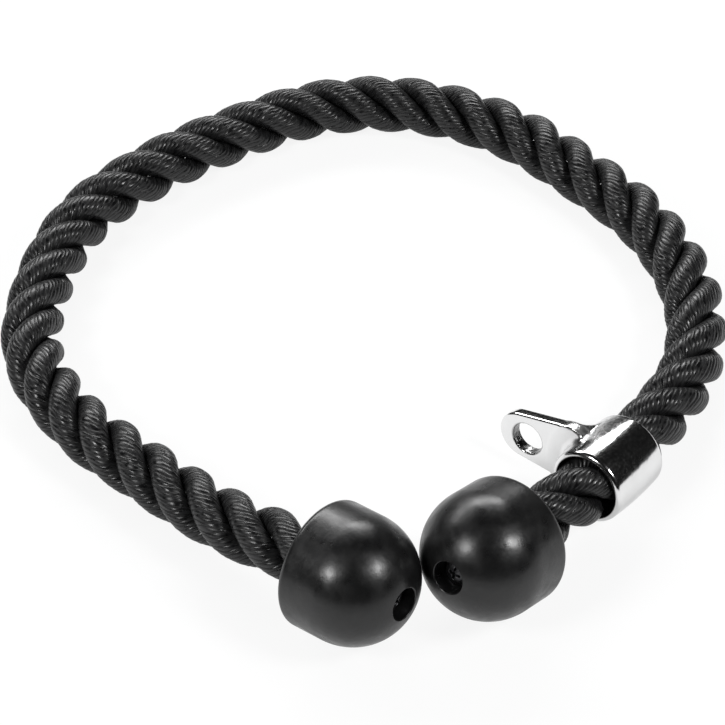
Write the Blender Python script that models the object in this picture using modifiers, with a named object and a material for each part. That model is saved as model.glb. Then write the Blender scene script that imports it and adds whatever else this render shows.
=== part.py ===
"""Triceps rope attachment: a laid rope with a moulded rubber ball screwed on each end,
and a cast collar with a lug and eye that rides on the rope.

Metres, +Z up. The part lies on the plane Z = 0 with its loop behind the two ball ends.
The origin is on that plane, under the middle of the box round the ball ends and the collar.
"""

from math import cos, pi, radians, sin, sqrt, tan

import bmesh
import bpy
from mathutils import Matrix, Quaternion, Vector

# Rope
ROPE_DIAMETER = 0.028
ROPE_SIDES_RESOLUTION = 4
ROPE_STEP_SHARE = 0.75
LINE_POINTS_PER_SPAN = 24

# Centre line, chosen by hand: end in the left ball, its mouth, round the loop,
# mouth of the right ball, end in the right ball
ROUTE = [
    (-0.04192, -0.04530, 0.03152),
    (-0.06462, -0.02653, 0.02771),
    (-0.1029, 0.0012, 0.0209),
    (-0.1401, 0.0349, 0.0161),
    (-0.1743, 0.0690, 0.0142),
    (-0.1965, 0.1107, 0.0140),
    (-0.1960, 0.1578, 0.0140),
    (-0.1815, 0.2038, 0.0140),
    (-0.1508, 0.2401, 0.0140),
    (-0.1116, 0.2684, 0.0140),
    (-0.0671, 0.2896, 0.0140),
    (-0.0200, 0.2910, 0.0140),
    (0.0246, 0.2715, 0.0140),
    (0.0607, 0.2364, 0.0140),
    (0.0897, 0.1985, 0.0140),
    (0.1049, 0.1519, 0.0140),
    (0.1010, 0.1030, 0.0143),
    (0.0773, 0.0605, 0.0161),
    (0.0475, 0.0213, 0.0208),
    (0.01522, -0.01218, 0.02660),
    (-0.00338, -0.03396, 0.03447),
]

# Whipping: the twine band that keeps the cut strands together inside each ball
WHIPPING_LENGTH = 0.012
WHIPPING_WALL = 0.0011
WHIPPING_EDGE = 0.0003

# Ball end: a hollow rubber moulding with a straight skirt and a round nose
BALL_DIAMETER = 0.0566
SKIRT_LENGTH = 0.0174
REAR_RIM_RADIUS = 0.003
BORE_DEPTH = 0.030
BORE_LIP_RADIUS = 0.0008
NOSE_LIP_RADIUS = 0.0006
COUNTERBORE_DIAMETER = 0.0142
COUNTERBORE_FLOOR = 0.0355
BALL_STEPS = 44
NOSE_ARC_POINTS = 11

# Screw and washer that clamp the ball to the rope's end
SHANK_DIAMETER = 0.0045
SCREW_LENGTH = 0.028
SCREW_POINT_LENGTH = 0.004
HEAD_DIAMETER = 0.0112
HEAD_HEIGHT = 0.0034
HEAD_EDGE_HEIGHT = 0.0013
CROSS_SLOT_LENGTH = 0.0062
CROSS_SLOT_WIDTH = 0.0013
CROSS_SLOT_DEPTH = 0.0020
WASHER_DIAMETER = 0.0132
WASHER_THICKNESS = 0.0012
SCREW_STEPS = 28
HEAD_ARC_POINTS = 5

# Collar: one casting, a short tube with a flat lug square to the rope
COLLAR_PLACE_SHARE = 0.9265
COLLAR_PLAY = 0.0017
COLLAR_WALL = 0.0032
COLLAR_BARREL_RISE = 0.0008
COLLAR_LENGTH = 0.0343
COLLAR_OUTER_LIP_RADIUS = 0.0018
COLLAR_INNER_LIP_RADIUS = 0.0004
LUG_THICKNESS = 0.0056
LUG_FRONT_OFFSET = 0.0069
LUG_REACH = 0.0413
LUG_END_RADIUS = 0.0112
LUG_TOP_LEAN_DEGREES = 14.1
LUG_UNDER_LEAN_DEGREES = 3.0
LUG_SHOULDER_RADIUS = 0.024
LUG_DRAFT = 0.045
LUG_EDGE_RADIUS = 0.0010
LUG_DROOP_DEGREES = 2.0
EYE_SET_BACK = 0.0034
EYE_DIAMETER = 0.0150
FRONT_FILLET_RADIUS = 0.0030
REAR_FLARE_REACH = 0.0088
REAR_FLARE_END_GAP = 0.0020
FILLET_SINK = 0.0002
COLLAR_STEPS = 60
BARREL_POINTS = 7
FILLET_ARC_POINTS = 7
LUG_ARC_POINTS = 16

# Clearances, and how far a cutter passes what it cuts
GAP = 0.0003
OVERRUN = 0.002

ROPE_RADIUS = ROPE_DIAMETER / 2
BALL_RADIUS = BALL_DIAMETER / 2
COLLAR_BORE_RADIUS = ROPE_RADIUS + COLLAR_PLAY / 2
COLLAR_RADIUS = COLLAR_BORE_RADIUS + COLLAR_WALL
UP = Vector((0, 0, 1))

# Merge distance for the points that a turned shape has on its axis
MERGE = 0.00001
LIP_ARC_POINTS = 4
SHARP_ANGLE_DEGREES = 50
EDGE_SEGMENTS = 2


def clear_scene():
    for old in list(bpy.data.objects):
        bpy.data.objects.remove(old)


def new_collection(name, wire=False):
    """A collection under the scene. A wire one is for cutters and guides."""
    made = bpy.data.collections.new(name)
    bpy.context.scene.collection.children.link(made)
    made.hide_render = wire
    return made


def principled(name, colour, roughness, metallic):
    made = bpy.data.materials.new(name)
    made.use_nodes = True
    shader = made.node_tree.nodes["Principled BSDF"]
    shader.inputs["Base Color"].default_value = (*colour, 1)
    shader.inputs["Roughness"].default_value = roughness
    shader.inputs["Metallic"].default_value = metallic
    made.diffuse_color = (*colour, 1)
    return made


def add_object(name, data, collection, material=None, parent=None):
    made = bpy.data.objects.new(name, data)
    collection.objects.link(made)
    if material:
        data.materials.append(material)
    if parent:
        made.parent = parent
    return made


def add_frame(name, collection, place, z_axis, x_axis):
    """An empty whose local Z and X run along two given directions."""
    x_axis = (x_axis - z_axis * x_axis.dot(z_axis)).normalized()
    y_axis = z_axis.cross(x_axis)
    turn = Matrix((x_axis, y_axis, z_axis)).transposed()
    made = bpy.data.objects.new(name, None)
    collection.objects.link(made)
    made.matrix_world = Matrix.Translation(place) @ turn.to_4x4()
    return made


def arc(centre_r, centre_z, radius_r, radius_z, start, end, count):
    """Points of an elliptical arc, from the start angle to the end angle in degrees."""
    angles = [radians(start + (end - start) * i / (count - 1)) for i in range(count)]
    return [(centre_r + radius_r * cos(a), centre_z + radius_z * sin(a)) for a in angles]


def turned(name, profile, steps, collection, material=None, parent=None, closed=True):
    """A profile of (radius, height) points, turned about the local Z axis."""
    mesh = bpy.data.meshes.new(name)
    count = len(profile)
    edges = [(i, (i + 1) % count) for i in range(count if closed else count - 1)]
    mesh.from_pydata([(r, 0, z) for r, z in profile], edges, [])
    made = add_object(name, mesh, collection, material, parent)
    screw = made.modifiers.new("Turn", "SCREW")
    screw.steps = steps
    screw.render_steps = steps
    screw.use_merge_vertices = True
    screw.merge_threshold = MERGE
    return made


def as_cutter(made):
    made.display_type = "WIRE"
    made.hide_render = True
    return made


def boolean(target, tool, operation, name):
    modifier = target.modifiers.new(name, "BOOLEAN")
    modifier.operation = operation
    modifier.solver = "EXACT"
    modifier.object = tool
    return modifier


def rod_cutter(name, radius, bottom, top, steps, collection, parent):
    """A cylinder between two heights on its parent's axis."""
    profile = [(0, top), (radius, top), (radius, bottom), (0, bottom)]
    return as_cutter(turned(name, profile, steps, collection, None, parent, closed=False))


# Rope and its whippings


def ball_bottom(mouth, axis):
    """Height of a ball end's lowest point, on its nose or on its rear rim."""
    nose = (mouth + axis * SKIRT_LENGTH).z - BALL_RADIUS
    rim = (mouth + axis * REAR_RIM_RADIUS).z - REAR_RIM_RADIUS
    return min(nose, rim - (BALL_RADIUS - REAR_RIM_RADIUS) * sqrt(1 - axis.z**2))


def rope_axes():
    """Mouth and outward direction of each ball. Both rest on Z = 0, a small gap apart."""
    ends = []
    for end, mouth in ((ROUTE[0], ROUTE[1]), (ROUTE[-1], ROUTE[-2])):
        axis = (Vector(end) - Vector(mouth)).normalized()
        ends.append((Vector(mouth) - UP * ball_bottom(Vector(mouth), axis), axis))
    (left, left_axis), (right, right_axis) = ends
    apart = right + right_axis * SKIRT_LENGTH - left - left_axis * SKIRT_LENGTH
    level = Vector((apart.x, apart.y, 0))
    wanted = sqrt((BALL_DIAMETER + GAP) ** 2 - apart.z**2)
    spread = level.normalized() * (wanted - level.length) / 2
    return (left - spread, left_axis), (right + spread, right_axis)


def free_line():
    """The smooth line between the two mouths, square to each of them."""
    points = [Vector(p) for p in ROUTE]
    (points[1], left_axis), (points[-2], right_axis) = rope_axes()
    slopes = [(after - before) / 2 for before, after in zip(points, points[2:])]
    slopes[0] = -left_axis * (points[2] - points[1]).length
    slopes[-1] = right_axis * (points[-2] - points[-3]).length
    inner = points[1:-1]
    line = [inner[0]]
    for i in range(len(inner) - 1):
        for j in range(1, LINE_POINTS_PER_SPAN + 1):
            t = j / LINE_POINTS_PER_SPAN
            line.append(
                inner[i] * (2 * t**3 - 3 * t**2 + 1)
                + slopes[i] * (t**3 - 2 * t**2 + t)
                + inner[i + 1] * (3 * t**2 - 2 * t**3)
                + slopes[i + 1] * (t**3 - t**2)
            )
    return line


def running_lengths(line):
    lengths = [0]
    for a, b in zip(line, line[1:]):
        lengths.append(lengths[-1] + (b - a).length)
    return lengths


def line_place(line, share):
    """Point and direction at a share of a line's length."""
    lengths = running_lengths(line)
    want = share * lengths[-1]
    at = max(i for i in range(len(line) - 1) if lengths[i] <= want)
    part = (want - lengths[at]) / (lengths[at + 1] - lengths[at])
    direction = (line[at + 1] - line[at]).normalized()
    return line[at].lerp(line[at + 1], part), direction


def even_points(line, step):
    """Points at one even spacing along a line, its two ends among them."""
    count = max(2, round(running_lengths(line)[-1] / step))
    inner = [line_place(line, i / count)[0] for i in range(1, count)]
    return [line[0]] + inner + [line[-1]]


def whipped_end(mouth, axis):
    """The straight end inside a ball: points and radius shares, from the mouth inwards."""
    neck = (ROPE_RADIUS - WHIPPING_WALL - GAP) / ROPE_RADIUS
    end = BORE_DEPTH - GAP
    shoulder = end - WHIPPING_LENGTH - GAP
    return [
        (mouth + axis * (shoulder - WHIPPING_WALL), 1),
        (mouth + axis * shoulder, neck),
        (mouth + axis * end, neck),
    ]


def make_rope(collection, cutters, frames, material):
    """One tube from end to end, with a pilot hole for the screw in each end."""
    (left, left_axis), (right, right_axis) = rope_axes()
    spaced = even_points(free_line(), ROPE_DIAMETER * ROPE_STEP_SHARE)
    run = whipped_end(left, left_axis)[::-1]
    run += [(p, 1) for p in spaced]
    run += whipped_end(right, right_axis)

    curve = bpy.data.curves.new("rope_line", "CURVE")
    curve.dimensions = "3D"
    curve.bevel_depth = ROPE_RADIUS
    curve.bevel_resolution = ROPE_SIDES_RESOLUTION
    curve.use_fill_caps = True
    spline = curve.splines.new("POLY")
    spline.points.add(len(run) - 1)
    for point, (place, radius) in zip(spline.points, run):
        point.co = (*place, 1)
        point.radius = radius
    line = add_object("rope_line", curve, collection)

    bpy.context.view_layer.update()
    evaluated = line.evaluated_get(bpy.context.evaluated_depsgraph_get())
    mesh = bpy.data.meshes.new_from_object(evaluated)
    work = bmesh.new()
    work.from_mesh(mesh)
    bmesh.ops.remove_doubles(work, verts=work.verts, dist=MERGE)
    work.to_mesh(mesh)
    work.free()
    mesh.shade_smooth()
    mesh.set_sharp_from_angle(angle=radians(SHARP_ANGLE_DEGREES))
    rope = add_object("rope", mesh, collection, material)
    rope.matrix_world = line.matrix_world
    bpy.data.objects.remove(line)

    for side, frame in frames.items():
        pilot = rod_cutter(
            side + "_pilot_hole",
            SHANK_DIAMETER / 2 + GAP,
            screw_seat() - SCREW_LENGTH - GAP,
            BORE_DEPTH + OVERRUN,
            SCREW_STEPS,
            cutters,
            frame,
        )
        boolean(rope, pilot, "DIFFERENCE", side + " pilot hole")
    return rope


def make_whipping(side, collection, frame, material):
    inner = ROPE_RADIUS - WHIPPING_WALL
    top = BORE_DEPTH - GAP
    bottom = top - WHIPPING_LENGTH
    edge = WHIPPING_EDGE
    profile = [
        (inner, top),
        (ROPE_RADIUS - edge, top),
        (ROPE_RADIUS, top - edge),
        (ROPE_RADIUS, bottom + edge),
        (ROPE_RADIUS - edge, bottom),
        (inner, bottom),
    ]
    return turned(side + "_whipping", profile, BALL_STEPS, collection, material, frame)


# Ball ends with their screws and washers


def washer_seat():
    return COUNTERBORE_FLOOR + GAP


def screw_seat():
    return washer_seat() + WASHER_THICKNESS + GAP


def make_ball_end(side, collection, frame, material):
    """Skirt and nose outside, rope bore behind, counterbore and screw hole in the nose."""
    counterbore = COUNTERBORE_DIAMETER / 2
    bore = ROPE_RADIUS + GAP
    hole = SHANK_DIAMETER / 2 + GAP
    nose_z = SKIRT_LENGTH
    rim_radius = counterbore + NOSE_LIP_RADIUS
    rim_z = nose_z + sqrt(BALL_RADIUS**2 - rim_radius**2)
    rim_angle = 90 - 180 / pi * rim_radius / BALL_RADIUS
    rear = REAR_RIM_RADIUS
    lip = BORE_LIP_RADIUS

    profile = [(counterbore, rim_z - NOSE_LIP_RADIUS)]
    profile += [(rim_radius, rim_z)]
    profile += arc(0, nose_z, BALL_RADIUS, BALL_RADIUS, rim_angle, 0, NOSE_ARC_POINTS)[1:]
    profile += arc(BALL_RADIUS - rear, rear, rear, rear, 0, -90, LIP_ARC_POINTS)
    profile += [(bore + lip, 0), (bore, lip), (bore, BORE_DEPTH), (hole, BORE_DEPTH)]
    profile += [(hole, COUNTERBORE_FLOOR), (counterbore, COUNTERBORE_FLOOR)]
    return turned(side + "_ball_end", profile, BALL_STEPS, collection, material, frame)


def make_washer(side, collection, frame, material):
    hole = SHANK_DIAMETER / 2 + GAP
    outer = WASHER_DIAMETER / 2
    bottom = washer_seat()
    top = bottom + WASHER_THICKNESS
    profile = [(hole, top), (outer, top), (outer, bottom), (hole, bottom)]
    return turned(side + "_washer", profile, SCREW_STEPS, collection, material, frame)


def make_screw(side, collection, cutters, frame, material):
    """Domed head with a cross recess, and a plain shank with a point."""
    head = HEAD_DIAMETER / 2
    shank = SHANK_DIAMETER / 2
    seat = screw_seat()
    edge = seat + HEAD_EDGE_HEIGHT
    tip = seat - SCREW_LENGTH
    dome = arc(0, edge, head, HEAD_HEIGHT - HEAD_EDGE_HEIGHT, 90, 0, HEAD_ARC_POINTS)
    profile = [(0, seat + HEAD_HEIGHT)] + dome[1:]
    profile += [(head, seat), (shank, seat), (shank, tip + SCREW_POINT_LENGTH), (0, tip)]
    screw = turned(
        side + "_screw", profile, SCREW_STEPS, collection, material, frame, closed=False
    )
    for index in range(2):
        slot = make_slot_cutter(f"{side}_slot_{index}", cutters, frame)
        slot.rotation_euler.z = index * pi / 2
        boolean(screw, slot, "DIFFERENCE", f"Cross slot {index}")
    return screw


def make_slot_cutter(name, cutters, frame):
    top = HEAD_HEIGHT + OVERRUN
    bottom = HEAD_HEIGHT - CROSS_SLOT_DEPTH
    mesh = bpy.data.meshes.new(name)
    work = bmesh.new()
    size = Matrix.Diagonal((CROSS_SLOT_LENGTH, CROSS_SLOT_WIDTH, top - bottom, 1))
    bmesh.ops.create_cube(work, size=1, matrix=size)
    work.to_mesh(mesh)
    work.free()
    slot = add_object(name, mesh, cutters, parent=frame)
    slot.location.z = screw_seat() + (top + bottom) / 2
    return as_cutter(slot)


# Collar with its lug


def tube_radius(height):
    """Outer radius of the tube's barrel at a height from its middle."""
    return COLLAR_RADIUS - COLLAR_BARREL_RISE * (2 * height / COLLAR_LENGTH) ** 2


def make_collar_tube(cutters, frame):
    """The short tube round the rope: a slight barrel outside, and rounded lips."""
    half = COLLAR_LENGTH / 2
    outer = COLLAR_OUTER_LIP_RADIUS
    inner = COLLAR_INNER_LIP_RADIUS
    out_r = tube_radius(half - outer) - outer
    in_r = COLLAR_BORE_RADIUS + inner
    step = 2 * (half - outer) / (BARREL_POINTS - 1)
    heights = [half - outer - step * i for i in range(1, BARREL_POINTS - 1)]
    profile = arc(out_r, half - outer, outer, outer, 90, 0, LIP_ARC_POINTS)
    profile += [(tube_radius(z), z) for z in heights]
    profile += arc(out_r, outer - half, outer, outer, 0, -90, LIP_ARC_POINTS)
    profile += arc(in_r, inner - half, inner, inner, -90, -180, LIP_ARC_POINTS)
    profile += arc(in_r, half - inner, inner, inner, 180, 90, LIP_ARC_POINTS)
    return as_cutter(turned("collar_tube", profile, COLLAR_STEPS, cutters, None, frame))


def lug_outline(inset):
    """The lug seen along the rope, moved inwards by an inset: a level top over the tube,
    a soft shoulder, a sloping side, the round end and the lower side.

    The frame's Y axis points down, so the upper side has the negative values.
    """
    root = tube_radius(COLLAR_LENGTH / 2) - inset
    radius = LUG_END_RADIUS - inset
    start = COLLAR_WALL + inset
    lean = radians(LUG_TOP_LEAN_DEGREES)
    corner = LUG_REACH + (radius - root * cos(lean)) / sin(lean)
    turn = LUG_SHOULDER_RADIUS
    shoulder_x = corner - turn * tan(lean / 2)
    top_end = 90 - LUG_TOP_LEAN_DEGREES
    points = [(start, root)]
    points += arc(shoulder_x, root - turn, turn, turn, 90, top_end, LIP_ARC_POINTS)
    under_end = LUG_UNDER_LEAN_DEGREES - 90
    points += arc(LUG_REACH, 0, radius, radius, top_end, under_end, LUG_ARC_POINTS)
    lean = radians(LUG_UNDER_LEAN_DEGREES)
    points += [(start, -(radius + (LUG_REACH - start) * sin(lean)) / cos(lean))]
    return [(x, -y) for x, y in points]


def drafted(name, inset, bottom, top, collection, material=None, parent=None):
    """The lug's outline as a solid between two heights, with sides that lean in behind."""
    front = LUG_FRONT_OFFSET
    levels = [(z, lug_outline(inset + LUG_DRAFT * (front - z))) for z in (bottom, top)]
    mesh = bpy.data.meshes.new(name)
    work = bmesh.new()
    low, high = [[work.verts.new((x, y, z)) for x, y in line] for z, line in levels]
    work.faces.new(low)
    work.faces.new(high)
    for i in range(len(low)):
        work.faces.new((low[i - 1], low[i], high[i], high[i - 1]))
    bmesh.ops.recalc_face_normals(work, faces=work.faces)
    work.to_mesh(mesh)
    work.free()
    return add_object(name, mesh, collection, material, parent)


def make_flare(cutters, frame):
    """The front fillet and the long rear flare between tube and lug, cut to its outline."""
    front = LUG_FRONT_OFFSET - FILLET_SINK
    back = LUG_FRONT_OFFSET - LUG_THICKNESS + FILLET_SINK
    fillet = FRONT_FILLET_RADIUS
    reach = REAR_FLARE_REACH
    front_root = tube_radius(front + fillet) - FILLET_SINK
    rear_root = tube_radius(COLLAR_LENGTH / 2) - FILLET_SINK
    rear_end = REAR_FLARE_END_GAP - COLLAR_LENGTH / 2
    inner = COLLAR_BORE_RADIUS + COLLAR_INNER_LIP_RADIUS
    profile = [(inner, front + fillet)]
    profile += arc(
        front_root + fillet, front + fillet, fillet, fillet, 180, 270, FILLET_ARC_POINTS
    )
    profile += arc(
        rear_root + reach, rear_end, reach, back - rear_end, 90, 180, FILLET_ARC_POINTS
    )
    profile += [(inner, rear_end)]
    flare = as_cutter(turned("flare", profile, COLLAR_STEPS, cutters, None, frame))
    half = COLLAR_LENGTH / 2 + OVERRUN
    bounds = drafted("flare_bounds", FILLET_SINK, -half, half, cutters, None, frame)
    boolean(flare, as_cutter(bounds), "INTERSECT", "Lug outline")
    return flare


def make_collar(collection, cutters, frame, material):
    """The flat lug with its eye and rounded edges, joined to its flare and to the tube."""
    front = LUG_FRONT_OFFSET
    back = front - LUG_THICKNESS
    collar = drafted("collar", 0, back, front, collection, material, frame)
    bottom = back - OVERRUN
    top = front + OVERRUN
    eye_steps = LUG_ARC_POINTS * 2
    eye = rod_cutter("eye", EYE_DIAMETER / 2, bottom, top, eye_steps, cutters, frame)
    eye.location.x = LUG_REACH - EYE_SET_BACK
    boolean(collar, eye, "DIFFERENCE", "Eye")
    edges = collar.modifiers.new("Rounded edges", "BEVEL")
    edges.width = LUG_EDGE_RADIUS
    edges.segments = EDGE_SEGMENTS
    edges.limit_method = "ANGLE"
    edges.angle_limit = radians(SHARP_ANGLE_DEGREES)
    inner = COLLAR_BORE_RADIUS + COLLAR_INNER_LIP_RADIUS
    room = rod_cutter("rope_room", inner + FILLET_SINK, bottom, top, COLLAR_STEPS, cutters, frame)
    boolean(collar, room, "DIFFERENCE", "Rope room")
    boolean(collar, make_flare(cutters, frame), "UNION", "Flare")
    boolean(collar, make_collar_tube(cutters, frame), "UNION", "Tube")
    return collar


def build():
    clear_scene()
    parts = new_collection("triceps_rope_attachment")
    cutters = new_collection("cutters", wire=True)

    rope_black = principled("rope_black", (0.012, 0.012, 0.013), 0.62, 0)
    twine_black = principled("twine_black", (0.03, 0.03, 0.03), 0.8, 0)
    rubber_black = principled("rubber_black", (0.010, 0.010, 0.011), 0.42, 0)
    chrome = principled("chrome", (0.78, 0.79, 0.80), 0.08, 1)
    screw_steel = principled("screw_steel", (0.06, 0.06, 0.065), 0.38, 1)
    washer_steel = principled("washer_steel", (0.10, 0.10, 0.105), 0.42, 1)

    frames = {}
    for side, (mouth, axis) in zip(("left", "right"), rope_axes()):
        frames[side] = add_frame(side + "_end_frame", parts, mouth, axis, UP)

    make_rope(parts, cutters, frames, rope_black)
    for side, frame in frames.items():
        make_whipping(side, parts, frame, twine_black)
        make_ball_end(side, parts, frame, rubber_black)
        make_washer(side, parts, frame, washer_steel)
        make_screw(side, parts, cutters, frame, screw_steel)

    place, along = line_place(free_line(), COLLAR_PLACE_SHARE)
    level = along.cross(UP).normalized()
    lift = level.cross(along) * (COLLAR_BORE_RADIUS - ROPE_RADIUS - GAP)
    lug_way = Quaternion(along, radians(LUG_DROOP_DEGREES)) @ level
    collar_frame = add_frame("collar_frame", parts, place + lift, along, lug_way)
    make_collar(parts, cutters, collar_frame, chrome)


build()
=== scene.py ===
from math import pi, radians, sin, sqrt, tau

import bpy
import numpy as np
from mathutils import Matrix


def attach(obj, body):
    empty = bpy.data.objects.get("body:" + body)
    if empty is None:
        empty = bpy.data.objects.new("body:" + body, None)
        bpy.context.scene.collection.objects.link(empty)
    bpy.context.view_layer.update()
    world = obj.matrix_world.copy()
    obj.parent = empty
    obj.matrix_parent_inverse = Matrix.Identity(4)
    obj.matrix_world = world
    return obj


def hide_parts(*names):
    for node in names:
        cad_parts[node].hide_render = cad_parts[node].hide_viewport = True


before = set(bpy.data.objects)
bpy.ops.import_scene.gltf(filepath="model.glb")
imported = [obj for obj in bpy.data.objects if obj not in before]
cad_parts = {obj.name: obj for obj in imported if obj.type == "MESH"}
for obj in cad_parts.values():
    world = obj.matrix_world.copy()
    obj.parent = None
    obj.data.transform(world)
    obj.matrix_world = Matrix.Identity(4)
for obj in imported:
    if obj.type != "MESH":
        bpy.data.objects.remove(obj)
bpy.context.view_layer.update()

import openvdb
from mathutils import Matrix, Vector

# Lengths are in metres, in the frame of the CAD
ROOT_BODY = "rope_and_ends"
COLLAR_BODY = "collar"

# Rope: its size over the strands, and the points that its line goes through
ROPE_DIAMETER = 0.028
ROUTE = np.array([
    (-0.04192, -0.04530, 0.03152),
    (-0.06462, -0.02653, 0.02771),
    (-0.1029, 0.0012, 0.0209),
    (-0.1401, 0.0349, 0.0161),
    (-0.1743, 0.0690, 0.0142),
    (-0.1965, 0.1107, 0.0140),
    (-0.1960, 0.1578, 0.0140),
    (-0.1815, 0.2038, 0.0140),
    (-0.1508, 0.2401, 0.0140),
    (-0.1116, 0.2684, 0.0140),
    (-0.0671, 0.2896, 0.0140),
    (-0.0200, 0.2910, 0.0140),
    (0.0246, 0.2715, 0.0140),
    (0.0607, 0.2364, 0.0140),
    (0.0897, 0.1985, 0.0140),
    (0.1049, 0.1519, 0.0140),
    (0.1010, 0.1030, 0.0143),
    (0.0773, 0.0605, 0.0161),
    (0.0475, 0.0213, 0.0208),
    (0.01522, -0.01218, 0.02660),
    (-0.00338, -0.03396, 0.03447),
])
GAP = 0.0003
LINE_STEP = 0.0005
SPAN_POINTS = 60
RING_STEP = 0.0014

# Lay of the three strands, and the section of one of them, which wanders a little in size
STRANDS = 3
LAY_LENGTH = 0.0675
LAY_PHASE = -0.2508
LAY_DRIFT = (0.433, -6.501, 20.973, -18.040)
LAY_DRIFT_END_SHARE = 0.8
STRAND_RADIUS = 0.0078
STRAND_HALF_HEIGHT = 0.0061
STRAND_HALF_WIDTH = 0.0077
STRAND_CLEARANCE = 0.00008
STRAND_LEAST_LEAN = 0.05
STRAND_WANDER = 0.006
STRAND_WANDER_LENGTHS = (0.031, 0.047, 0.083)

# Yarns on a strand: the points across one yarn, their height, and how the yarns turn and sway
YARNS = 19
YARN_SECTION = (1.0, 0.4, -1.0, 0.4)
YARN_TURN = -232
YARN_HEIGHT = 0.00014
YARN_HEIGHT_SHARES = (0.35, 1.65)
YARN_SWAY = 0.055
YARN_SWAY_LENGTH = 0.013

# Drawn-in ends under the twine
WHIPPING_LENGTH = 0.0126
WHIPPING_SHARE = 0.895
WHIPPING_RUN = 0.0018

# Ball ends
BALL_RADIUS = 0.0283
SKIRT_LENGTH = 0.0174
REAR_RIM_RADIUS = 0.003
BORE_RADIUS = 0.0143
BORE_DEPTH = 0.030
COUNTERBORE_RADIUS = 0.0071
COUNTERBORE_FLOOR = 0.0355
HOLE_RADIUS = 0.00255
BALL_LIP = 0.0005
BALL_SWELL = 0.0022
BALL_SWELL_TURNS = (2, 3, 5, 7, 11)
BALL_SWELL_RISES = (60, 160)
BALL_STEPS = 192
BALL_SHARP_DEGREES = 60

# Screws
SHANK_RADIUS = 0.00225
SCREW_LENGTH = 0.028
POINT_LENGTH = 0.004
POINT_COSINE = 0.87
THREAD_DEPTH = 0.00012
THREAD_PITCH = 0.0018
THREAD_TOP = -0.006
SHANK_TOP = 0.001
SHANK_FILLET = 0.0003
HEAD_RADIUS = 0.0056
HEAD_HEIGHT = 0.0034
HEAD_EDGE_HEIGHT = 0.0013
HEAD_EDGE = 0.0003
HEAD_UNDER_EDGE = 0.0002
CROSS_LENGTH = 0.0062
CROSS_WIDTH = 0.0013
CROSS_DEPTH = 0.0020
CROSS_TAPER = 0.25
CROSS_LEAST_SHARE = 0.3
CROSS_EDGE = 0.00018
SCREW_CELL = 0.00014
SCREW_MARGIN = 0.0004

# Washers, and where they and the screws' heads sit above the ball's mouth
WASHER_RADIUS = 0.0066
WASHER_THICKNESS = 0.0012
WASHER_EDGE = 0.00025
WASHER_STEPS = 72
WASHER_SHARP_DEGREES = 50
WASHER_SEAT = COUNTERBORE_FLOOR + GAP
SCREW_SEAT = WASHER_SEAT + WASHER_THICKNESS + GAP

# Twine round each end of the rope, with its own lay, and the share of a turn that is tucked under
TWINE_TURNS = 10
TWINE_TURN_STEPS = 48
TWINE_SIDES = 10
TWINE_RADIUS = 0.00055
TWINE_LENGTH = 0.012
TWINE_TUCK = 0.2
TWINE_TUCK_DEPTH = 0.6
TWINE_STRANDS = 3
TWINE_STRAND_RISE = 0.06
TWINE_LAY = 36

# Collar: its frame, tube, lug and eye
COLLAR_PLACE = np.array([0.05846, 0.03459, 0.01950])
COLLAR_AXIS = np.array([-0.61822, -0.77914, 0.10368])
LUG_WAY = np.array([-0.78513, 0.61836, -0.03471])
COLLAR_BORE = 0.01485
COLLAR_RADIUS = 0.01805
BARREL_RISE = 0.0008
COLLAR_HALF = 0.01715
OUTER_LIP = 0.0018
INNER_LIP = 0.0004
LUG_THICKNESS = 0.0056
LUG_FRONT = 0.0069
LUG_REACH = 0.0413
LUG_END_RADIUS = 0.0112
LUG_TOP_LEAN = radians(14.1)
LUG_UNDER_LEAN = radians(3.0)
LUG_EDGE = 0.0010
LUG_CROWN = 0.019
LUG_CROWN_PLACE = 0.0014
LUG_DRAFT = 0.045
SHOULDER_BLEND = 0.0009
SHOULDER_PLACE = 0.0070
SHOULDER_RADIUS = 0.0095
EYE_REACH = 0.0379
EYE_RADIUS = 0.0075
FRONT_FILLET = 0.0030
REAR_FILLET = 0.0006
TOP_FILLET = -0.0008
FILLET_RUN = 0.0030
FLARE_REACH = 0.0088
FLARE_REAR = -0.01515
FLARE_FRONT = 0.0064
FLARE_SINK = 0.0002
FLARE_STEEPNESS = 0.6
FLARE_EDGE = 0.0010
FLARE_BLEND = 0.0016
EYE_WAVE = 0.00006
COLLAR_CELL = 0.0004
COLLAR_LOW = (-0.0192, -0.0192, -0.0182)
COLLAR_HIGH = (0.0536, 0.0192, 0.0182)

# Camera
CAMERA_PLACE = (-0.04731, -0.75222, 0.84249)
CAMERA_DOWN_DEGREES = 44
CAMERA_LENS = 131.09
CAMERA_SENSOR = 36

# World, floor and lamps: each lamp's direction, distance, width, height and power
WORLD_FILL = 0.12
WORLD_MIRRORED = 0.008
FLOOR_HALF = 6.0
FLOOR_DROP = 0.0004
FLOOR_TONE = 0.88
FLOOR_GLOW_SEEN = 0.88
FLOOR_GLOW_MIRRORED = 0.45
LAMP_TARGET = (-0.02, 0.02, 0.03)
LAMPS = {
    "left_softbox": ((-0.62, -0.42, 0.66), 1.3, 0.34, 0.34, 8.5),
    "right_softbox": ((0.62, -0.30, 0.72), 1.3, 0.32, 0.32, 9.5),
    "back_softbox": ((-0.02, 0.80, 0.56), 1.5, 1.0, 0.40, 14),
    "back_left_softbox": ((-0.55, 0.60, 0.56), 1.5, 0.9, 0.40, 7),
}


def unit(v):
    return v / np.linalg.norm(v, axis=-1, keepdims=True)


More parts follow.
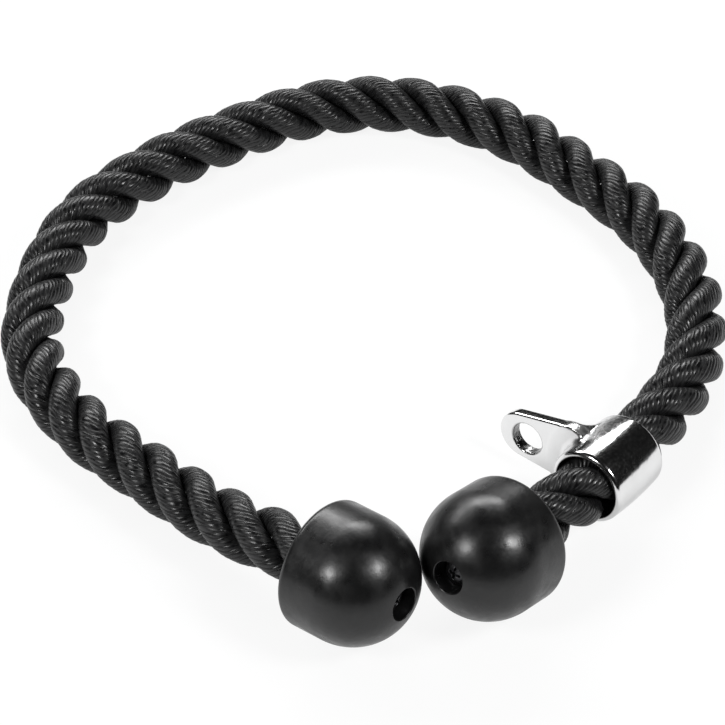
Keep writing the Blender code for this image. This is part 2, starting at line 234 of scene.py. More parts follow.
def seated(route):
    """The route with its two ends moved as the ball ends stand: on the floor, just apart."""
    ends = []
    for end, mouth in ((route[0], route[1]), (route[-1], route[-2])):
        axis = unit(end - mouth)
        nose = (mouth + axis * SKIRT_LENGTH)[2] - BALL_RADIUS
        rim = (mouth + axis * REAR_RIM_RADIUS)[2] - REAR_RIM_RADIUS
        rim -= (BALL_RADIUS - REAR_RIM_RADIUS) * sqrt(1 - axis[2] ** 2)
        ends.append((mouth - np.array([0, 0, min(nose, rim)]), axis))
    (left, left_axis), (right, right_axis) = ends
    apart = right + right_axis * SKIRT_LENGTH - left - left_axis * SKIRT_LENGTH
    level = np.array([apart[0], apart[1], 0])
    wanted = sqrt((2 * BALL_RADIUS + GAP) ** 2 - apart[2] ** 2)
    spread = unit(level) * (wanted - np.linalg.norm(level)) / 2
    left, right = left - spread, right + spread
    deep = BORE_DEPTH - GAP
    ends = [left + left_axis * deep, left], [right, right + right_axis * deep]
    return np.concatenate([ends[0], route[2:-2], ends[1]])


ROUTE = seated(ROUTE)


def add_object(name, data):
    made = bpy.data.objects.new(name, data)
    bpy.context.scene.collection.objects.link(made)
    return made


def new_mesh_object(name, points, faces):
    mesh = bpy.data.meshes.new(name)
    mesh.from_pydata([tuple(p) for p in points], [], faces)
    mesh.validate()
    mesh.shade_smooth()
    return add_object(name, mesh)


def array_mesh(name, points, corners, starts):
    """A mesh from arrays: its points, each face corner's point, and each face's first corner."""
    mesh = bpy.data.meshes.new(name)
    mesh.vertices.add(len(points))
    mesh.vertices.foreach_set("co", points.astype(np.float32).ravel())
    mesh.loops.add(len(corners))
    mesh.loops.foreach_set("vertex_index", corners.astype(np.int32))
    mesh.polygons.add(len(starts))
    mesh.polygons.foreach_set("loop_start", starts.astype(np.int32))
    return mesh


def settle(mesh):
    mesh.update(calc_edges=True)
    mesh.validate()
    mesh.shade_smooth()


def matrix_of(x, y, z, place):
    matrix = Matrix.Identity(4)
    for row in range(3):
        matrix[row][:] = (x[row], y[row], z[row], place[row])
    return matrix


def finish_piece(made, body, node, material):
    made.data.materials.append(material)
    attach(made, body)
    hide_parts(node)


# Camera, floor and light


def make_camera():
    data = bpy.data.cameras.new("camera")
    data.lens = CAMERA_LENS
    data.sensor_width = CAMERA_SENSOR
    data.clip_start = 0.01
    data.clip_end = 20
    made = add_object("camera", data)
    made.location = CAMERA_PLACE
    made.rotation_euler = (radians(90 - CAMERA_DOWN_DEGREES), 0, 0)
    bpy.context.scene.camera = made


class Nodes:
    """A material's or world's node tree, with a short way to add and join nodes."""

    def __init__(self, tree):
        self.tree = tree
        tree.nodes.clear()

    def add(self, kind, inputs=None, **settings):
        node = self.tree.nodes.new(kind)
        for key, value in settings.items():
            setattr(node, key, value)
        for key, value in (inputs or {}).items():
            self.set(node.inputs[key], value)
        return node

    def set(self, socket, value):
        if isinstance(value, bpy.types.NodeSocket):
            self.tree.links.new(value, socket)
        else:
            socket.default_value = value

    def math(self, operation, a, b=0.0):
        node = self.add("ShaderNodeMath", operation=operation)
        self.set(node.inputs[0], a)
        self.set(node.inputs[1], b)
        return node.outputs[0]

    def ramp(self, value, low, high, to_low=0.0, to_high=1.0):
        node = self.add("ShaderNodeMapRange", {
            "Value": value, "From Min": low, "From Max": high,
            "To Min": to_low, "To Max": to_high,
        })
        return node.outputs[0]

    def mix(self, share, a, b):
        node = self.add("ShaderNodeMix", data_type="RGBA")
        self.set(node.inputs[0], share)
        self.set(node.inputs[6], (*a, 1) if isinstance(a, tuple) else a)
        self.set(node.inputs[7], (*b, 1) if isinstance(b, tuple) else b)
        return node.outputs[2]

    def noise(self, vector, scale, detail=2.0, roughness=0.5):
        node = self.add("ShaderNodeTexNoise", {
            "Vector": vector, "Scale": scale, "Detail": detail, "Roughness": roughness,
        })
        return node.outputs[0]

    def background(self, color, strength):
        node = self.add("ShaderNodeBackground", {"Color": (*color, 1), "Strength": strength})
        return node.outputs[0]

    def mix_shaders(self, share, a, b):
        return self.add("ShaderNodeMixShader", {0: share, 1: a, 2: b}).outputs[0]

    def place(self):
        return self.add("ShaderNodeTexCoord").outputs["Object"]

    def bump(self, height, distance, strength=1.0, normal=None):
        node = self.add("ShaderNodeBump", {
            "Height": height, "Distance": distance, "Strength": strength,
        })
        if normal is not None:
            self.set(node.inputs["Normal"], normal)
        return node.outputs[0]


def looked_at(nodes, path):
    """1 for camera and transmission rays, and 0 for the others."""
    return nodes.math(
        "MAXIMUM", path.outputs["Is Camera Ray"], path.outputs["Is Transmission Ray"]
    )


def seen_share(nodes, seen, mirrored):
    """One share for camera and transmission rays, one for glossy rays, and 0 for the others."""
    path = nodes.add("ShaderNodeLightPath")
    direct = nodes.math("MULTIPLY", looked_at(nodes, path), seen)
    glossy = nodes.math("MULTIPLY", path.outputs["Is Glossy Ray"], mirrored)
    return nodes.math("MAXIMUM", direct, glossy)


def make_world():
    """White to the camera, faint in the glossy surfaces, and a low fill on the matt ones."""
    world = bpy.data.worlds.new("studio")
    world.use_nodes = True
    bpy.context.scene.world = world
    nodes = Nodes(world.node_tree)
    path = nodes.add("ShaderNodeLightPath")
    fill = nodes.background((0.9, 0.95, 1), WORLD_FILL)
    mirrored = nodes.background((1, 1, 1), WORLD_MIRRORED)
    white = nodes.background((1, 1, 1), 1.0)
    unseen = nodes.mix_shaders(path.outputs["Is Glossy Ray"], fill, mirrored)
    surface = nodes.mix_shaders(looked_at(nodes, path), unseen, white)
    nodes.add("ShaderNodeOutputWorld", {"Surface": surface})


def make_floor():
    """A wide pale floor just under the object, which keeps its shadow."""
    signs = ((-1, -1), (1, -1), (1, 1), (-1, 1))
    corners = [(x * FLOOR_HALF, y * FLOOR_HALF, -FLOOR_DROP) for x, y in signs]
    floor = new_mesh_object("floor", corners, [(0, 1, 2, 3)])
    material = bpy.data.materials.new("pale_floor")
    material.use_nodes = True
    nodes = Nodes(material.node_tree)
    matt = nodes.add("ShaderNodeBsdfDiffuse", {"Color": (FLOOR_TONE, FLOOR_TONE, FLOOR_TONE, 1)})
    glow = nodes.add("ShaderNodeEmission", {"Color": (1, 1, 1, 1), "Strength": 1.0})
    share = seen_share(nodes, FLOOR_GLOW_SEEN, FLOOR_GLOW_MIRRORED)
    surface = nodes.mix_shaders(share, matt.outputs[0], glow.outputs[0])
    nodes.add("ShaderNodeOutputMaterial", {"Surface": surface})
    floor.data.materials.append(material)


def make_lamp(name, direction, distance, width, height, power):
    data = bpy.data.lights.new(name, "AREA")
    data.shape = "RECTANGLE"
    data.size = width
    data.size_y = height
    data.energy = power
    made = add_object(name, data)
    way = Vector(direction).normalized()
    made.location = Vector(LAMP_TARGET) + way * distance
    made.rotation_mode = "QUATERNION"
    made.rotation_quaternion = way.to_track_quat("Z", "Y")


# Materials


def principled(name):
    material = bpy.data.materials.new(name)
    material.use_nodes = True
    nodes = Nodes(material.node_tree)
    shader = nodes.add("ShaderNodeBsdfPrincipled")
    nodes.add("ShaderNodeOutputMaterial", {"Surface": shader.outputs[0]})
    return material, nodes, shader


def nylon_material():
    """Black filament yarn: fine threads along each yarn, and painted shade between the yarns."""
    material, nodes, shader = principled("black_nylon")
    uv = nodes.add("ShaderNodeUVMap", uv_map="yarns")
    split = nodes.add("ShaderNodeSeparateXYZ", {0: uv.outputs[0]})
    across, along = split.outputs[0], split.outputs[1]

    def threads(per_yarn, per_metre):
        """Noise of so many waves across one yarn, and so many in each metre along it."""
        where = nodes.add("ShaderNodeCombineXYZ", {
            0: nodes.math("MULTIPLY", across, per_yarn),
            1: nodes.math("MULTIPLY", along, per_metre),
        })
        return nodes.noise(where.outputs[0], 1.0)

    fine, broad = threads(9.0, 200.0), threads(0.9, 330.0)
    gap = nodes.math("ABSOLUTE", nodes.math("SUBTRACT", nodes.math("FRACT", across), 0.5))
    crown = nodes.ramp(gap, 0.0, 0.22)
    yarn = nodes.mix(nodes.ramp(broad, 0.35, 0.7), (0.004, 0.004, 0.0044), (0.016, 0.016, 0.0165))
    # Painted shade: the valleys between the yarns are painted near-black, darker than the yarn's
    # own colour.
    nodes.set(shader.inputs["Base Color"], nodes.mix(crown, (0.0008, 0.0008, 0.0008), yarn))
    polish = nodes.math("ADD", nodes.ramp(fine, 0.3, 0.7, 0.0, 0.12),
                        nodes.ramp(broad, 0.35, 0.65, 0.16, 0.36))
    nodes.set(shader.inputs["Roughness"],
              nodes.math("ADD", polish, nodes.ramp(crown, 0.0, 1.0, 0.35, 0.0)))
    shader.inputs["Specular IOR Level"].default_value = 0.4
    heights = nodes.bump(crown, 0.00014, 0.5)
    rough = nodes.bump(broad, 0.00012, 0.5, heights)
    nodes.set(shader.inputs["Normal"], nodes.bump(fine, 0.00004, 0.5, rough))
    return material


def rubber_material():
    """Black moulded rubber: a soft uneven sheen under a thin gloss, and a fine grain."""
    material, nodes, shader = principled("black_rubber")
    where = nodes.place()
    broad = nodes.noise(where, 55.0, 3.0)
    fine = nodes.noise(where, 900.0, 4.0, 0.6)
    patchy = nodes.noise(where, 150.0, 3.0)
    dark, light = (0.0040, 0.0040, 0.0042), (0.0075, 0.0075, 0.0075)
    nodes.set(shader.inputs["Base Color"], nodes.mix(nodes.ramp(broad, 0.35, 0.7), dark, light))
    nodes.set(shader.inputs["Roughness"], nodes.ramp(patchy, 0.3, 0.7, 0.25, 0.43))
    shader.inputs["Specular IOR Level"].default_value = 0.42
    shader.inputs["Coat Weight"].default_value = 0.10
    shader.inputs["Coat Roughness"].default_value = 0.18
    soft = nodes.bump(patchy, 0.0003, 0.5, nodes.bump(broad, 0.0006, 0.5))
    nodes.set(shader.inputs["Normal"], nodes.bump(fine, 0.00006, 0.5, soft))
    return material


def chrome_material():
    """Chrome on a casting: duller and pitted at the lug's root, painted shade on dull metal in the
    bore.
    """
    material, nodes, shader = principled("chrome_plate")
    where = nodes.place()
    broad = nodes.noise(where, 60.0, 2.0)
    fine = nodes.noise(where, 700.0, 3.0)
    across = nodes.add("ShaderNodeVectorMath", {0: where, 1: (1, 1, 0)}, operation="MULTIPLY")
    radius = nodes.add("ShaderNodeVectorMath", {0: across.outputs[0]}, operation="LENGTH")
    bore = nodes.ramp(radius.outputs[1], COLLAR_BORE + 2 * INNER_LIP, COLLAR_BORE + INNER_LIP)
    from_eye = nodes.add("ShaderNodeVectorMath", {
        0: across.outputs[0], 1: (EYE_REACH, 0, 0),
    }, operation="DISTANCE")
    eye = nodes.ramp(from_eye.outputs[1], EYE_RADIUS + LUG_EDGE, EYE_RADIUS)
    plate = nodes.mix(nodes.ramp(broad, 0.3, 0.7), (0.70, 0.70, 0.70), (0.77, 0.77, 0.77))
    plate = nodes.mix(eye, plate, (0.24, 0.24, 0.24))
    # Painted shade: the bore is painted almost black, standing for the shade inside the tube as
    # well as its unplated metal.
    nodes.set(shader.inputs["Base Color"], nodes.mix(bore, plate, (0.035, 0.035, 0.035)))
    shader.inputs["Metallic"].default_value = 1

    # The lug's root is the part that was left as it was cast
    split = nodes.add("ShaderNodeSeparateXYZ", {0: where})
    root = nodes.math("MULTIPLY", nodes.ramp(split.outputs[0], 0.0030, 0.0075),
                      nodes.ramp(split.outputs[0], 0.021, 0.015))
    root = nodes.math("MULTIPLY", root, nodes.ramp(split.outputs[2], 0.009, 0.005))
    dull = nodes.math("MULTIPLY", root, nodes.ramp(broad, 0.3, 0.65, 0.08, 0.22))
    polish = nodes.ramp(fine, 0.3, 0.8, 0.10, 0.20)
    dull = nodes.math("ADD", dull, nodes.math("MULTIPLY", bore, 0.35))
    dull = nodes.math("ADD", dull, nodes.math("MULTIPLY", eye, 0.12))
    nodes.set(shader.inputs["Roughness"], nodes.math("ADD", polish, dull))
    cast = nodes.noise(where, 330.0, 2.0)
    pitted = nodes.noise(where, 950.0, 3.0)
    waves = nodes.bump(cast, 0.00012, 0.35, nodes.bump(broad, 0.0004, 0.45))
    nodes.set(shader.inputs["Normal"],
              nodes.bump(pitted, 0.0003, nodes.math("MULTIPLY", root, 0.6), waves))
    return material


def steel_material(name, base, roughness):
    material, nodes, shader = principled(name)
    where = nodes.place()
    grain = nodes.noise(where, 1500.0, 3.0)
    dark = tuple(0.6 * c for c in base)
    nodes.set(shader.inputs["Base Color"], nodes.mix(nodes.ramp(grain, 0.35, 0.65), dark, base))
    shader.inputs["Metallic"].default_value = 1
    nodes.set(shader.inputs["Roughness"], nodes.ramp(grain, 0.3, 0.7, roughness, roughness + 0.15))
    nodes.set(shader.inputs["Normal"], nodes.bump(grain, 0.00004, 0.5))
    return material


def twine_material():
    material, nodes, shader = principled("black_twine")
    where = nodes.place()
    grain = nodes.noise(where, 1800.0, 3.0)
    dark, light = (0.012, 0.012, 0.012), (0.045, 0.045, 0.045)
    nodes.set(shader.inputs["Base Color"], nodes.mix(nodes.ramp(grain, 0.35, 0.65), dark, light))
    shader.inputs["Roughness"].default_value = 0.7
    nodes.set(shader.inputs["Normal"], nodes.bump(grain, 0.0001, 0.6))
    return material


# Rope


def centreline():
    """Points and running lengths of the rope's line, square to the mouth of each ball."""
    left = unit(ROUTE[0] - ROUTE[1])
    right = unit(ROUTE[-1] - ROUTE[-2])
    slopes = (ROUTE[2:] - ROUTE[:-2]) / 2
    slopes[0] = -left * np.linalg.norm(ROUTE[2] - ROUTE[1])
    slopes[-1] = right * np.linalg.norm(ROUTE[-2] - ROUTE[-3])
    inner = ROUTE[1:-1]
    t = np.linspace(0, 1, SPAN_POINTS, endpoint=False)[:, None]
    line = [ROUTE[:1]]
    for i in range(len(inner) - 1):
        line.append(
            inner[i] * (2 * t**3 - 3 * t**2 + 1)
            + slopes[i] * (t**3 - 2 * t**2 + t)
            + inner[i + 1] * (3 * t**2 - 2 * t**3)
            + slopes[i + 1] * (t**3 - t**2)
        )
    line = np.concatenate([*line, ROUTE[-2:]])
    lengths = np.concatenate([[0], np.cumsum(np.linalg.norm(np.diff(line, axis=0), axis=1))])
    count = round(lengths[-1] / LINE_STEP)
    at = np.linspace(0, lengths[-1], count + 1)
    even = np.stack([np.interp(at, lengths, line[:, k]) for k in range(3)], 1)
    return at, even


def smoothstep(x):
    x = np.clip(x, 0, 1)
    return x * x * (3 - 2 * x)


def strand_rings(s, phi, place, up, side, draw, random):
    """One strand's rings of points along the rope, with its yarns and their wandering."""
    per_yarn = len(YARN_SECTION)
    around = per_yarn * YARNS
    psi = tau * np.arange(around)[None, :] / around + (YARN_TURN * s)[:, None]
    starts = np.repeat(random.uniform(0, tau, YARNS), per_yarn)
    psi = psi + YARN_SWAY * np.sin(tau * s[:, None] / YARN_SWAY_LENGTH + starts[None, :])
    psi = (psi + pi) % tau - pi
    reach = STRAND_HALF_HEIGHT * STRAND_HALF_WIDTH / np.sqrt(
        (STRAND_HALF_WIDTH * np.cos(psi)) ** 2 + (STRAND_HALF_HEIGHT * np.sin(psi)) ** 2
    )
    lean = np.maximum(np.sin(np.abs(psi) - pi / STRANDS), STRAND_LEAST_LEAN)
    reach = np.minimum(reach, (STRAND_RADIUS * sin(pi / STRANDS) - STRAND_CLEARANCE) / lean)
    tall = random.uniform(*YARN_HEIGHT_SHARES, YARNS)
    ridge = np.tile(YARN_SECTION, YARNS) * np.repeat(tall, per_yarn)
    wander = sum(
        np.sin(tau * s / length + random.uniform(0, tau)) for length in STRAND_WANDER_LENGTHS
    )
    reach = reach * (1 + STRAND_WANDER * wander)[:, None] + YARN_HEIGHT * ridge[None, :]

    x = (STRAND_RADIUS + reach * np.cos(psi)) * draw[:, None]
    y = reach * np.sin(psi) * draw[:, None]
    out = up * np.cos(phi)[:, None] + side * np.sin(phi)[:, None]
    turn = side * np.cos(phi)[:, None] - up * np.sin(phi)[:, None]
    return place[:, None, :] + out[:, None, :] * x[..., None] + turn[:, None, :] * y[..., None]


def make_rope(material):
    """Three laid strands, each with its yarns, round one line."""
    at, line = centreline()
    total = at[-1]
    rings = round(total / RING_STEP)
    s = np.linspace(0, total, rings + 1)
    place = np.stack([np.interp(s, at, line[:, k]) for k in range(3)], 1)
    way = unit(np.gradient(place, axis=0))
    up = unit(np.array([0, 0, 1]) - way * way[:, 2:])
    side = np.cross(way, up)
    drift_share = np.minimum(s / total, LAY_DRIFT_END_SHARE)
    drift = sum(c * drift_share**k for k, c in enumerate(LAY_DRIFT))
    draw = smoothstep((np.minimum(s, total - s) - WHIPPING_LENGTH) / WHIPPING_RUN)
    draw = WHIPPING_SHARE + (1 - WHIPPING_SHARE) * draw

    random = np.random.RandomState(7)
    around = len(YARN_SECTION) * YARNS
    index = np.arange(around)
    i, j = np.meshgrid(np.arange(rings), index, indexing="ij")
    points, faces, caps, uvs = [], [], [], []
    for k in range(STRANDS):
        phi = LAY_PHASE + drift + tau * s / LAY_LENGTH + tau * k / STRANDS
        points.append(strand_rings(s, phi, place, up, side, draw, random).reshape(-1, 3))
        base = k * (rings + 1) * around
        a = base + i * around + j
        b = base + i * around + (j + 1) % around
        faces.append(np.stack([a, b, b + around, a + around], -1).reshape(-1, 4))
        caps += [base + index[::-1], base + rings * around + index]
        u, v0, v1 = j + around * k, s[i], s[i + 1]
        uvs.append(np.stack([u, v0, u + 1, v0, u + 1, v1, u, v1], -1).reshape(-1, 2))
    points, faces, uvs = np.concatenate(points), np.concatenate(faces), np.concatenate(uvs)

    corners = np.concatenate([faces.ravel(), *caps])
    starts = np.append(np.arange(len(faces)) * 4, faces.size + np.arange(len(caps)) * around)
    mesh = array_mesh("laid_rope", points, corners, starts)
    flat = np.zeros((len(corners), 2), np.float32)
    flat[: len(uvs)] = uvs * np.array([1 / len(YARN_SECTION), 1.0])
    mesh.uv_layers.new(name="yarns").data.foreach_set("uv", flat.ravel())
    settle(mesh)
    rope = add_object("laid_rope", mesh)
    finish_piece(rope, ROOT_BODY, "rope", material)


# Ball ends


def arc(centre_r, centre_z, radius, start, end, count):
    angles = np.radians(np.linspace(start, end, count))
    return np.stack([centre_r + radius * np.cos(angles), centre_z + radius * np.sin(angles)], 1)


def straight(a, b, count):
    return np.linspace(a, b, count + 1)[1:-1]


def end_matrix(end, mouth):
    z = unit(end - mouth)
    x = unit(np.array([0, 0, 1]) - z * z[2])
    return matrix_of(x, np.cross(z, x), z, mouth)


def turned_piece(name, profile, steps, matrix, sharp, swell=1.0):
    """A closed outline of (radius, height) points, turned about the local Z axis."""
    count = len(profile)
    angles = tau * np.arange(steps) / steps
    r, z = profile[:, 0][None, :] * swell, profile[:, 1][None, :]
    points = np.stack([
        r * np.cos(angles)[:, None],
        r * np.sin(angles)[:, None],
        np.broadcast_to(z, (steps, count)),
    ], -1).reshape(-1, 3)
    faces = []
    for i in range(steps):
        a, b = i * count, ((i + 1) % steps) * count
        for j in range(count):
            n = (j + 1) % count
            faces.append((a + j, a + n, b + n, b + j))
    made = new_mesh_object(name, points, faces)
    made.data.set_sharp_from_angle(angle=radians(sharp))
    made.matrix_world = matrix
    return made


def ball_profile():
    """Closed outline of (radius, height) points, from the counterbore's rim round to its wall."""
    lip = BALL_LIP
    rim_r = COUNTERBORE_RADIUS + lip
    rim_z = SKIRT_LENGTH + sqrt(BALL_RADIUS**2 - rim_r**2)
    rim_angle = 90 - 180 / pi * rim_r / BALL_RADIUS
    parts = [
        arc(rim_r, rim_z - lip, lip, 180, 100, 6),
        arc(0, SKIRT_LENGTH, BALL_RADIUS, rim_angle, 0, 60),
        straight((BALL_RADIUS, SKIRT_LENGTH), (BALL_RADIUS, REAR_RIM_RADIUS), 14),
        arc(BALL_RADIUS - REAR_RIM_RADIUS, REAR_RIM_RADIUS, REAR_RIM_RADIUS, 0, -90, 12),
        straight((BALL_RADIUS - REAR_RIM_RADIUS, 0), (BORE_RADIUS + lip, 0), 10),
        arc(BORE_RADIUS + lip, lip, lip, 270, 180, 6),
        straight((BORE_RADIUS, lip), (BORE_RADIUS, BORE_DEPTH), 10),
        np.array([(BORE_RADIUS, BORE_DEPTH), (HOLE_RADIUS, BORE_DEPTH)]),
        np.array([(HOLE_RADIUS, COUNTERBORE_FLOOR)]),
        np.array([(COUNTERBORE_RADIUS, COUNTERBORE_FLOOR)]),
        straight((COUNTERBORE_RADIUS, COUNTERBORE_FLOOR),
                 (COUNTERBORE_RADIUS, rim_z - lip), 8),
    ]
    return np.concatenate(parts)


def make_ball(side, matrix, material, seed):
    """The hollow moulding, its outer skin a little uneven."""
    profile = ball_profile()
    r, z = profile[:, 0][None, :], profile[:, 1][None, :]
    bore = (r <= 1.001 * BORE_RADIUS) & (z < 1.001 * BORE_DEPTH)
    skin = (r > 1.3 * COUNTERBORE_RADIUS) & ((z > REAR_RIM_RADIUS) | (r > 1.1 * BORE_RADIUS))
    angles = tau * np.arange(BALL_STEPS)[:, None] / BALL_STEPS
    random = np.random.RandomState(seed)
    wave = 0
    for turns in BALL_SWELL_TURNS:
        phase, rise = random.uniform(0, tau), random.uniform(*BALL_SWELL_RISES)
        wave = wave + np.sin(turns * angles + rise * z + phase) / turns
    swell = 1 + BALL_SWELL * wave * (skin & ~bore)
    made = turned_piece(
        side + "_rubber_ball", profile, BALL_STEPS, matrix, BALL_SHARP_DEGREES, swell
    )
    finish_piece(made, ROOT_BODY, side + "_ball_end", material)


# Shapes from a distance function, meshed on a grid and moved onto the exact surface


def both(a, b, radius):
    """Where both shapes are, with a rounded edge."""
    outside = np.hypot(np.maximum(a + radius, 0), np.maximum(b + radius, 0))
    return np.minimum(np.maximum(a, b), -radius) + outside


def either(a, b, radius):
    """Where either shape is, with a fillet between them."""
    inside = np.hypot(np.maximum(radius - a, 0), np.maximum(radius - b, 0))
    return np.maximum(np.minimum(a, b), radius) - inside


def meshed(name, shape, low, high, cell, matrix):
    """A mesh on the surface where a shape's function is zero, shaded with exact normals."""
    counts = [int((b - a) / cell) + 1 for a, b in zip(low, high)]
    axes = [low[k] + cell * np.arange(counts[k]) for k in range(3)]
    values = shape(*np.meshgrid(*axes, indexing="ij")).astype(np.float32)
    grid = openvdb.FloatGrid(3 * cell)
    grid.copyFromArray(np.ascontiguousarray(values))
    points, faces = grid.convertToQuads(0)
    points = np.array(low) + cell * np.asarray(points, np.float64)

    nudge = cell / 40
    for _ in range(4):
        slope = np.stack([
            shape(*(points + nudge * step).T) - shape(*(points - nudge * step).T)
            for step in np.eye(3)
        ], 1) / (2 * nudge)
        size = np.maximum((slope**2).sum(1), 0.05)
        move = -(shape(*points.T) / size)[:, None] * slope
        length = np.maximum(np.linalg.norm(move, axis=1, keepdims=True), 1e-12)
        points = points + move * np.minimum(1, 0.5 * cell / length)

    faces = np.asarray(faces, np.int32)
    corner = points[faces]
    flat = np.cross(corner[:, 2] - corner[:, 0], corner[:, 3] - corner[:, 1])
    if (flat * slope[faces[:, 0]]).sum() < 0:
        faces = faces[:, ::-1]
    mesh = array_mesh(name, points, faces.ravel(), np.arange(len(faces)) * 4)
    settle(mesh)
    mesh.normals_split_custom_set_from_vertices(unit(slope).tolist())
    made = add_object(name, mesh)
    made.matrix_world = matrix
    return made


# Collar


def collar_shape(x, down, z):
    """The casting in its own frame: x along the lug, z along the rope."""
    y = -down
    r = np.hypot(x, y)

    # Tube, slightly barrelled
    outer = COLLAR_RADIUS - BARREL_RISE * (z / COLLAR_HALF) ** 2
    tube = both(r - outer, np.abs(z) - COLLAR_HALF, OUTER_LIP)

    # Outline of the lug: two leaning sides, a round end and a shoulder
    front, back = LUG_FRONT, LUG_FRONT - LUG_THICKNESS
    middle = (front + back) / 2
    root = COLLAR_RADIUS - BARREL_RISE
    top = np.sin(LUG_TOP_LEAN) * (x - LUG_REACH) + np.cos(LUG_TOP_LEAN) * y
    under = np.sin(LUG_UNDER_LEAN) * (x - LUG_REACH) - np.cos(LUG_UNDER_LEAN) * y
    side = np.maximum(top, under)
    along = x - LUG_REACH
    round_end = np.hypot(along, y)
    past_top = np.cos(LUG_TOP_LEAN) * along - np.sin(LUG_TOP_LEAN) * y > 0
    past_under = np.cos(LUG_UNDER_LEAN) * along + np.sin(LUG_UNDER_LEAN) * y > 0
    outline = np.where(past_top & past_under, round_end, side) - LUG_END_RADIUS
    level = y - root
    more = np.maximum(SHOULDER_BLEND - np.abs(outline - level), 0) ** 2 / (4 * SHOULDER_BLEND)
    outline = np.maximum(outline, level) + more

    # Plate of the lug, crowned in front and drafted behind
    crown = np.minimum(np.maximum(z, back) - front + LUG_CROWN_PLACE, 0)
    lean = crown**2 / (2 * LUG_CROWN) + LUG_DRAFT * np.maximum(back - z, 0)
    outline = outline + lean
    eye = EYE_RADIUS - np.hypot(x - EYE_REACH, y)
    cornered = both(outline, SHOULDER_PLACE - x, SHOULDER_RADIUS)
    plate = both(cornered, np.abs(z - middle) - LUG_THICKNESS / 2, LUG_EDGE)

    # Flare behind the plate, down to the tube
    rise = np.clip((z - FLARE_REAR) / (back - FLARE_REAR), 0, 1)
    reach = root - FLARE_SINK + (FLARE_REACH + FLARE_SINK) * (1 - np.sqrt(1 - rise**2))
    steep = 1 / np.sqrt(1 + FLARE_STEEPNESS * rise**2)
    flare = both((r - reach) * steep, cornered, FLARE_EDGE)
    flare = np.maximum(flare, np.maximum(-x, np.maximum(z - FLARE_FRONT, FLARE_REAR - z)))

    # All of it with its fillets, then the eye and the bore
    ahead = np.clip((z - back) / FILLET_RUN, 0, 1)
    high = np.clip(y / root, 0, 1) ** 2
    fillet = REAR_FILLET + (FRONT_FILLET - REAR_FILLET + TOP_FILLET * high) * ahead
    body = either(either(plate, flare, FLARE_BLEND), tube, fillet)
    rough_eye = eye + EYE_WAVE * np.sin(2100 * y + 900 * z) * np.sin(1700 * x - 1300 * z)
    body = both(body, rough_eye, LUG_EDGE)
    return both(body, COLLAR_BORE - r, INNER_LIP)


def make_collar(material):
    down = np.cross(COLLAR_AXIS, LUG_WAY)
    matrix = matrix_of(LUG_WAY, down, COLLAR_AXIS, COLLAR_PLACE)
    made = meshed("chromed_collar", collar_shape, COLLAR_LOW, COLLAR_HIGH, COLLAR_CELL, matrix)
    finish_piece(made, COLLAR_BODY, "collar", material)


# Screws, washers and twine


def screw_shape(x, y, z):
    """A domed head with a cross recess, and a shank with a point and a worn-in thread."""
    r = np.hypot(x, y)
    dome = HEAD_HEIGHT - HEAD_EDGE_HEIGHT
    ball = (HEAD_RADIUS**2 + dome**2) / (2 * dome)
    cap = np.sqrt(r**2 + (z - HEAD_HEIGHT + ball) ** 2) - ball
    head = both(both(cap, r - HEAD_RADIUS, HEAD_EDGE), -z, HEAD_UNDER_EDGE)
    depth = HEAD_HEIGHT - z
    taper = np.maximum(1 - CROSS_TAPER * depth / CROSS_DEPTH, CROSS_LEAST_SHARE)
    half_long, half_wide = CROSS_LENGTH / 2, CROSS_WIDTH / 2
    slot_a = np.maximum(np.abs(x) - half_long * taper, np.abs(y) - half_wide * taper)
    slot_b = np.maximum(np.abs(y) - half_long * taper, np.abs(x) - half_wide * taper)
    recess = np.maximum(np.minimum(slot_a, slot_b), depth - CROSS_DEPTH)
    head = both(head, -recess, CROSS_EDGE)
    thread = THREAD_DEPTH * np.cos(np.arctan2(y, x) - tau * z / THREAD_PITCH)
    shank = r - SHANK_RADIUS - thread * (z < THREAD_TOP) + THREAD_DEPTH
    point = (r - (z + SCREW_LENGTH) * SHANK_RADIUS / POINT_LENGTH) * POINT_COSINE
    shank = np.maximum(np.maximum(shank, point), z - SHANK_TOP)
    return either(head, shank, SHANK_FILLET)


def make_screw(side, matrix, material, turn):
    half = HEAD_RADIUS + SCREW_MARGIN
    low = (-half, -half, -SCREW_LENGTH - SCREW_MARGIN)
    high = (half, half, HEAD_HEIGHT + SCREW_MARGIN)
    seat = matrix @ Matrix.Translation((0, 0, SCREW_SEAT)) @ Matrix.Rotation(radians(turn), 4, "Z")
    made = meshed(side + "_cross_screw", screw_shape, low, high, SCREW_CELL, seat)
    finish_piece(made, ROOT_BODY, side + "_screw", material)


def make_washer(side, matrix, material):
    edge = WASHER_EDGE
    low, high = WASHER_SEAT, WASHER_SEAT + WASHER_THICKNESS
    inner, outer = HOLE_RADIUS, WASHER_RADIUS
    profile = np.concatenate([
        arc(outer - edge, high - edge, edge, 90, 0, 5),
        arc(outer - edge, low + edge, edge, 0, -90, 5),
        straight((outer - edge, low), (inner + edge, low), 6),
        arc(inner + edge, low + edge, edge, 270, 180, 5),
        arc(inner + edge, high - edge, edge, 180, 90, 5),
        straight((inner + edge, high), (outer - edge, high), 6),
    ])[::-1]
    made = turned_piece(side + "_flat_washer", profile, WASHER_STEPS, matrix, WASHER_SHARP_DEGREES)
    finish_piece(made, ROOT_BODY, side + "_washer", material)


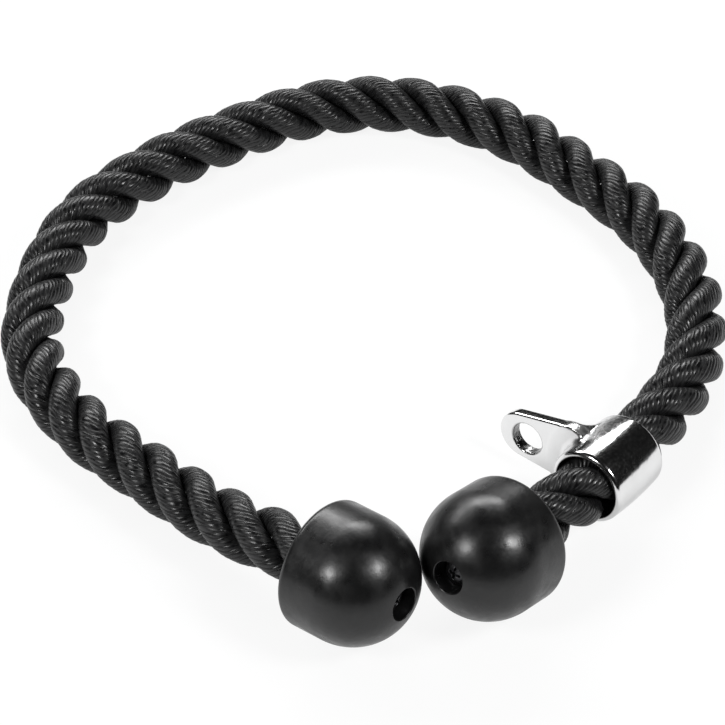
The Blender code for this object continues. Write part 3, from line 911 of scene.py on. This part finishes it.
def make_twine(side, matrix, material):
    """One cord wound tightly round the cut strands, its two ends tucked under."""
    steps, sides = TWINE_TURNS * TWINE_TURN_STEPS, TWINE_SIDES
    turns = np.linspace(0, TWINE_TURNS, steps + 1)
    low = BORE_DEPTH - GAP - TWINE_LENGTH + TWINE_RADIUS
    height = low + (TWINE_LENGTH - 2 * TWINE_RADIUS) * turns / TWINE_TURNS
    tucked = 1 - smoothstep(np.minimum(turns, TWINE_TURNS - turns) / TWINE_TUCK)
    radius = ROPE_DIAMETER / 2 - TWINE_RADIUS * (1 + TWINE_TUCK_DEPTH * tucked)
    angle = tau * turns
    centre = np.stack([radius * np.cos(angle), radius * np.sin(angle), height], 1)
    out = np.stack([np.cos(angle), np.sin(angle), 0 * angle], 1)
    rise = np.array([0, 0, 1.0])
    spin = tau * np.arange(sides) / sides
    twist = spin[None, :] + TWINE_LAY * angle[:, None] / TWINE_TURNS
    lay = 1 + TWINE_STRAND_RISE * np.cos(TWINE_STRANDS * twist)
    ring = centre[:, None, :] + TWINE_RADIUS * lay[..., None] * (
        np.cos(spin)[None, :, None] * out[:, None, :] + np.sin(spin)[None, :, None] * rise
    )
    faces = []
    for i in range(steps):
        for j in range(sides):
            n = (j + 1) % sides
            a, b = i * sides, (i + 1) * sides
            faces.append((a + j, b + j, b + n, a + n))
    faces.append(tuple(range(sides)))
    faces.append(tuple(steps * sides + j for j in range(sides))[::-1])
    made = new_mesh_object(side + "_wound_twine", ring.reshape(-1, 3), faces)
    made.matrix_world = matrix
    finish_piece(made, ROOT_BODY, side + "_whipping", material)


bpy.context.scene.view_settings.view_transform = "Standard"
make_camera()
make_world()
make_floor()
for name, values in LAMPS.items():
    make_lamp(name, *values)

make_rope(nylon_material())
rubber = rubber_material()
black_steel = steel_material("black_steel", (0.10, 0.10, 0.105), 0.32)
washer_steel = steel_material("washer_steel", (0.22, 0.22, 0.23), 0.35)
twine = twine_material()
for side, end, mouth, seed, turn in (
    ("left", ROUTE[0], ROUTE[1], 3, 12),
    ("right", ROUTE[-1], ROUTE[-2], 5, 0),
):
    matrix = end_matrix(end, mouth)
    make_ball(side, matrix, rubber, seed)
    make_screw(side, matrix, black_steel, turn)
    make_washer(side, matrix, washer_steel)
    make_twine(side, matrix, twine)
make_collar(chrome_material())
